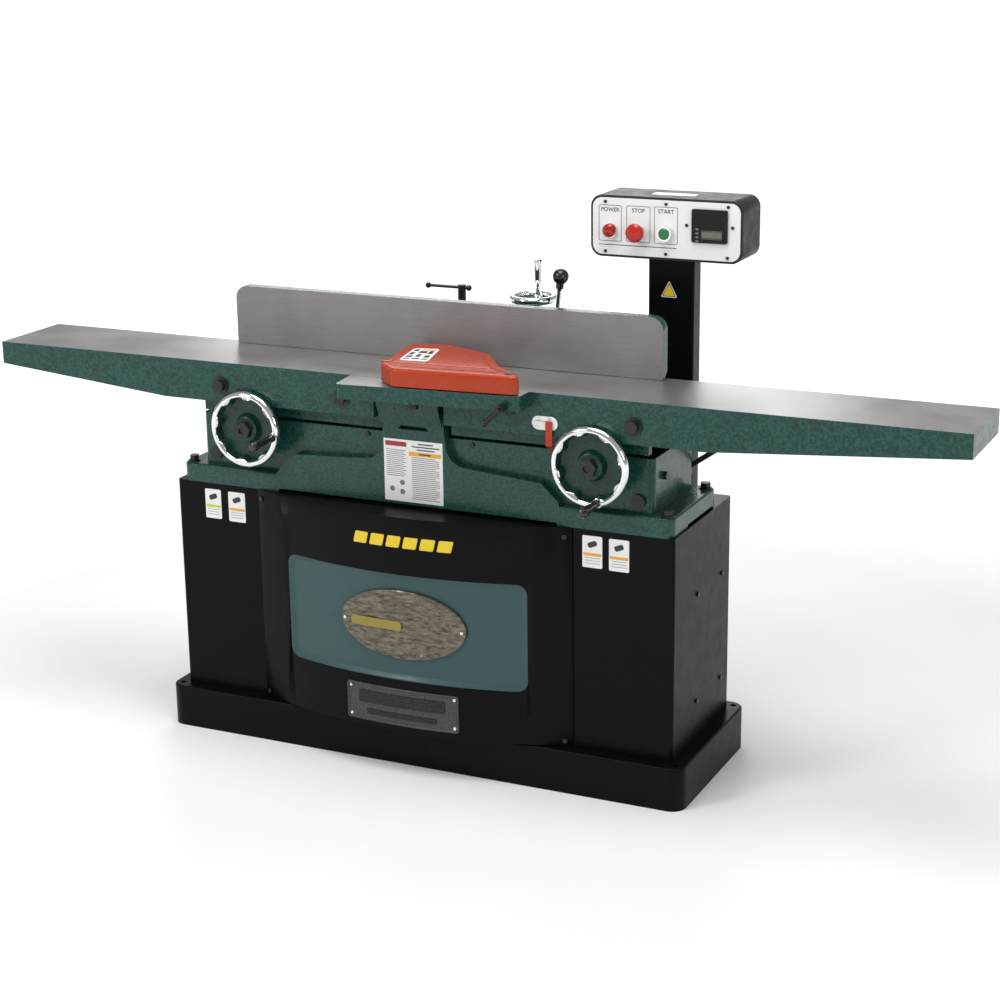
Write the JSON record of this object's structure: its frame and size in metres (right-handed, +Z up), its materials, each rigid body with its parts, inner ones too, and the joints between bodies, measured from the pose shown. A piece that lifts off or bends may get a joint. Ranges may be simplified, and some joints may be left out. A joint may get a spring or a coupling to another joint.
{
  "type": "jointer",
  "caption": "Long-table woodworking jointer on a closed stand, with crank-raised tables, spiral cutterhead, swinging guard, sliding and tilting fence, and pedestal controls.",
  "frame": {"origin": "centre of the plinth's underside, on the floor", "axes": "+X along the tables towards the infeed end, +Y to the rear (the operator stands on the -Y side), +Z up"},
  "size_m": [2.1081, 0.637, 1.1465],
  "materials": {
    "stand_black": "gloss powder coat",
    "casting_green": "hammered enamel",
    "table_iron": "ground top, enamelled sides",
    "ground_iron": "ground",
    "cover_teal": "satin paint",
    "badge_nickel": "antique cast",
    "pewter": "dark cast",
    "wheel_chrome": "polished",
    "black_plastic": "gloss",
    "black_steel": "black oxide",
    "steel": "turned",
    "chrome": "polished",
    "guard_orange": "gloss enamel",
    "pointer_orange": "satin",
    "scale_white": "printed plate",
    "panel_white": "satin",
    "lamp_red": "translucent",
    "stop_red": "gloss",
    "start_green": "gloss",
    "display_black": "matte",
    "rubber": "matte",
    "motor_grey": "enamel",
    "aluminium": "cast and turned",
    "duct_steel": "galvanised"
  },
  "bodies": {
    "stand": {"plinth_base": "stand_black", "cabinet_shell": "stand_black", "front_cover": "stand_black", "cover_panel": "cover_teal", "oval_badge": "badge_nickel", "nameplate": "pewter", "panel_screws": "black_steel", "control_post": "stand_black", "bed_casting": "casting_green", "bed_bolts": "black_steel", "depth_pointer": "pointer_orange", "bearing_blocks": "casting_green", "drive_belt": "rubber", "motor": "motor_grey", "belt_guard": "stand_black", "dust_chute": "duct_steel", "fence_rail": "casting_green", "control_box": "stand_black", "control_panel": "panel_white", "button_collars": "chrome", "power_lamp": "lamp_red", "display_module": "display_black"},
    "infeed_outer_crank": {"infeed_outer_shaft": "steel"},
    "infeed_inner_crank": {"infeed_inner_shaft": "steel"},
    "infeed_table_body": {"infeed_table": "table_iron", "infeed_bolts": "black_steel", "rabbet_ledge": "ground_iron", "depth_scale": "scale_white"},
    "infeed_wheel": {"infeed_pinion_shaft": "steel", "infeed_handwheel": "wheel_chrome", "infeed_wheel_nut": "black_steel"},
    "infeed_grip": {"infeed_wheel_grip": "black_plastic"},
    "infeed_lock": {"infeed_lock_lever": "black_steel"},
    "outfeed_outer_crank": {"outfeed_outer_shaft": "steel"},
    "outfeed_inner_crank": {"outfeed_inner_shaft": "steel"},
    "outfeed_table_body": {"outfeed_table": "table_iron", "outfeed_bolts": "black_steel"},
    "outfeed_wheel": {"outfeed_pinion_shaft": "steel", "outfeed_handwheel": "wheel_chrome", "outfeed_wheel_nut": "black_steel"},
    "outfeed_grip": {"outfeed_wheel_grip": "black_plastic"},
    "outfeed_lock": {"outfeed_lock_lever": "black_steel"},
    "cutter_rotor": {"cutterhead": "steel", "cutter_inserts": "chrome", "cutterhead_pulley": "aluminium"},
    "motor_rotor": {"motor_pulley": "aluminium"},
    "carriage": {"fence_carriage": "casting_green"},
    "fence": {"fence_plate": "ground_iron", "fence_hinge_pins": "steel"},
    "fence_wheel": {"fence_pinion": "steel", "fence_handwheel": "wheel_chrome"},
    "fence_grip": {"fence_wheel_grip": "chrome"},
    "fence_lock": {"fence_lock_post": "black_steel"},
    "fence_t_bar": {"fence_lock_bar": "black_steel"},
    "tilt_handle": {"tilt_lever": "black_plastic"},
    "guard_pivot": {"guard_post": "steel"},
    "guard": {"blade_guard": "guard_orange"},
    "guard_lock": {"guard_lock_lever": "black_steel"},
    "stop": {"stop_button": "stop_red"},
    "start": {"start_button": "start_green"}
  },
  "joints": [
    {"name": "infeed_crank", "type": "hinge", "parent": "stand", "child": "infeed_outer_crank", "pos_m": [0.33122, 0, 0.61], "axis": [0, 1, 0], "range_deg": [0, 30]},
    {"name": "infeed_table_level", "type": "hinge", "parent": "infeed_outer_crank", "child": "infeed_table_body", "pos_m": [0.34112, 0, 0.6199], "axis": [0, 1, 0], "range_deg": [-30, 0]},
    {"name": "infeed_inner_crank_turn", "type": "hinge", "parent": "stand", "child": "infeed_inner_crank", "pos_m": [0.126, 0, 0.61], "axis": [0, 1, 0], "range_deg": [0, 30]},
    {"name": "infeed_wheel_turn", "type": "hinge", "parent": "stand", "child": "infeed_wheel", "pos_m": [0.403, 0, 0.688], "axis": [0, 1, 0], "range_deg": [-236, 1]},
    {"name": "infeed_grip_spin", "type": "hinge", "parent": "infeed_wheel", "child": "infeed_grip", "pos_m": [0.42229, -0.25, 0.62071], "axis": [0, 1, 0], "continuous": true},
    {"name": "infeed_lock_turn", "type": "hinge", "parent": "stand", "child": "infeed_lock", "pos_m": [0.482, 0, 0.614], "axis": [0, 1, 0], "range_deg": [0, 40]},
    {"name": "outfeed_crank", "type": "hinge", "parent": "stand", "child": "outfeed_outer_crank", "pos_m": [-0.29022, 0, 0.61], "axis": [0, 1, 0], "range_deg": [-12, 0]},
    {"name": "outfeed_table_level", "type": "hinge", "parent": "outfeed_outer_crank", "child": "outfeed_table_body", "pos_m": [-0.30012, 0, 0.6199], "axis": [0, 1, 0], "range_deg": [0, 12]},
    {"name": "outfeed_inner_crank_turn", "type": "hinge", "parent": "stand", "child": "outfeed_inner_crank", "pos_m": [-0.114, 0, 0.61], "axis": [0, 1, 0], "range_deg": [-12, 0]},
    {"name": "outfeed_wheel_turn", "type": "hinge", "parent": "stand", "child": "outfeed_wheel", "pos_m": [-0.362, 0, 0.688], "axis": [0, 1, 0], "range_deg": [-1, 95]},
    {"name": "outfeed_grip_spin", "type": "hinge", "parent": "outfeed_wheel", "child": "outfeed_grip", "pos_m": [-0.29268, -0.25, 0.67826], "axis": [0, 1, 0], "continuous": true},
    {"name": "outfeed_lock_turn", "type": "hinge", "parent": "stand", "child": "outfeed_lock", "pos_m": [-0.47, 0, 0.614], "axis": [0, 1, 0], "range_deg": [-40, 0]},
    {"name": "cutterhead_spin", "type": "hinge", "parent": "stand", "child": "cutter_rotor", "pos_m": [0.006, -0.07, 0.7795], "axis": [0, 1, 0], "continuous": true},
    {"name": "motor_spin", "type": "hinge", "parent": "stand", "child": "motor_rotor", "pos_m": [0.006, 0.104, 0.29], "axis": [0, 1, 0], "continuous": true},
    {"name": "fence_slide", "type": "slide", "parent": "stand", "child": "carriage", "axis": [0, 1, 0], "range_m": [-0.15, 0.019]},
    {"name": "fence_tilt", "type": "hinge", "parent": "carriage", "child": "fence", "pos_m": [0.006, 0.006, 0.826], "axis": [1, 0, 0], "range_deg": [-45, 0]},
    {"name": "fence_wheel_turn", "type": "hinge", "parent": "carriage", "child": "fence_wheel", "pos_m": [0.111, 0.19, 0.9], "axis": [0, 0, 1], "range_deg": [-69, 538]},
    {"name": "fence_grip_spin", "type": "hinge", "parent": "fence_wheel", "child": "fence_grip", "pos_m": [0.111, 0.216, 0.96], "axis": [0, 0, 1], "continuous": true},
    {"name": "fence_lock_turn", "type": "hinge", "parent": "carriage", "child": "fence_lock", "pos_m": [-0.016, 0.112, 0.9], "axis": [0, 0, 1], "range_deg": [-80, 80]},
    {"name": "t_bar_slide", "type": "slide", "parent": "fence_lock", "child": "fence_t_bar", "axis": [1, 0, 0], "range_m": [-0.001, 0.062]},
    {"name": "tilt_lever_turn", "type": "hinge", "parent": "carriage", "child": "tilt_handle", "pos_m": [0.197, 0.112, 0.888], "axis": [1, 0, 0], "range_deg": [-12, 12]},
    {"name": "guard_follow", "type": "hinge", "parent": "infeed_table_body", "child": "guard_pivot", "pos_m": [0.24, -0.213, 0.82], "axis": [0, 0, 1], "range_deg": [-4.7, 36.8]},
    {"name": "guard_swing", "type": "hinge", "parent": "guard_pivot", "child": "guard", "pos_m": [0.24, -0.213, 0.83], "axis": [0, 0, 1], "range_deg": [0, 60], "stiffness_Nm_per_rad": 0.6},
    {"name": "guard_lock_turn", "type": "hinge", "parent": "infeed_table_body", "child": "guard_lock", "pos_m": [0.238, -0.25, 0.797], "axis": [0, 1, 0], "range_deg": [-40, 40]},
    {"name": "stop_press", "type": "slide", "parent": "stand", "child": "stop", "axis": [0, 1, 0], "range_m": [0, 0.003], "stiffness_N_per_m": 300},
    {"name": "start_press", "type": "slide", "parent": "stand", "child": "start", "axis": [0, 1, 0], "range_m": [0, 0.003], "stiffness_N_per_m": 300}
  ],
  "couplings": [
    {"joint": "infeed_table_level", "follows": "infeed_crank", "ratio": -1},
    {"joint": "infeed_inner_crank_turn", "follows": "infeed_crank", "ratio": 1},
    {"joint": "infeed_wheel_turn", "follows": "infeed_crank", "ratio": -7.8333},
    {"joint": "outfeed_table_level", "follows": "outfeed_crank", "ratio": -1},
    {"joint": "outfeed_inner_crank_turn", "follows": "outfeed_crank", "ratio": 1},
    {"joint": "outfeed_wheel_turn", "follows": "outfeed_crank", "ratio": -7.8333},
    {"joint": "motor_spin", "follows": "cutterhead_spin", "ratio": 0.56},
    {"joint": "fence_wheel_turn", "follows": "fence_slide", "rad_per_m": -62.5},
    {"joint": "guard_follow", "follows": "fence_slide", "rad_per_m": -4.27}
  ]
}
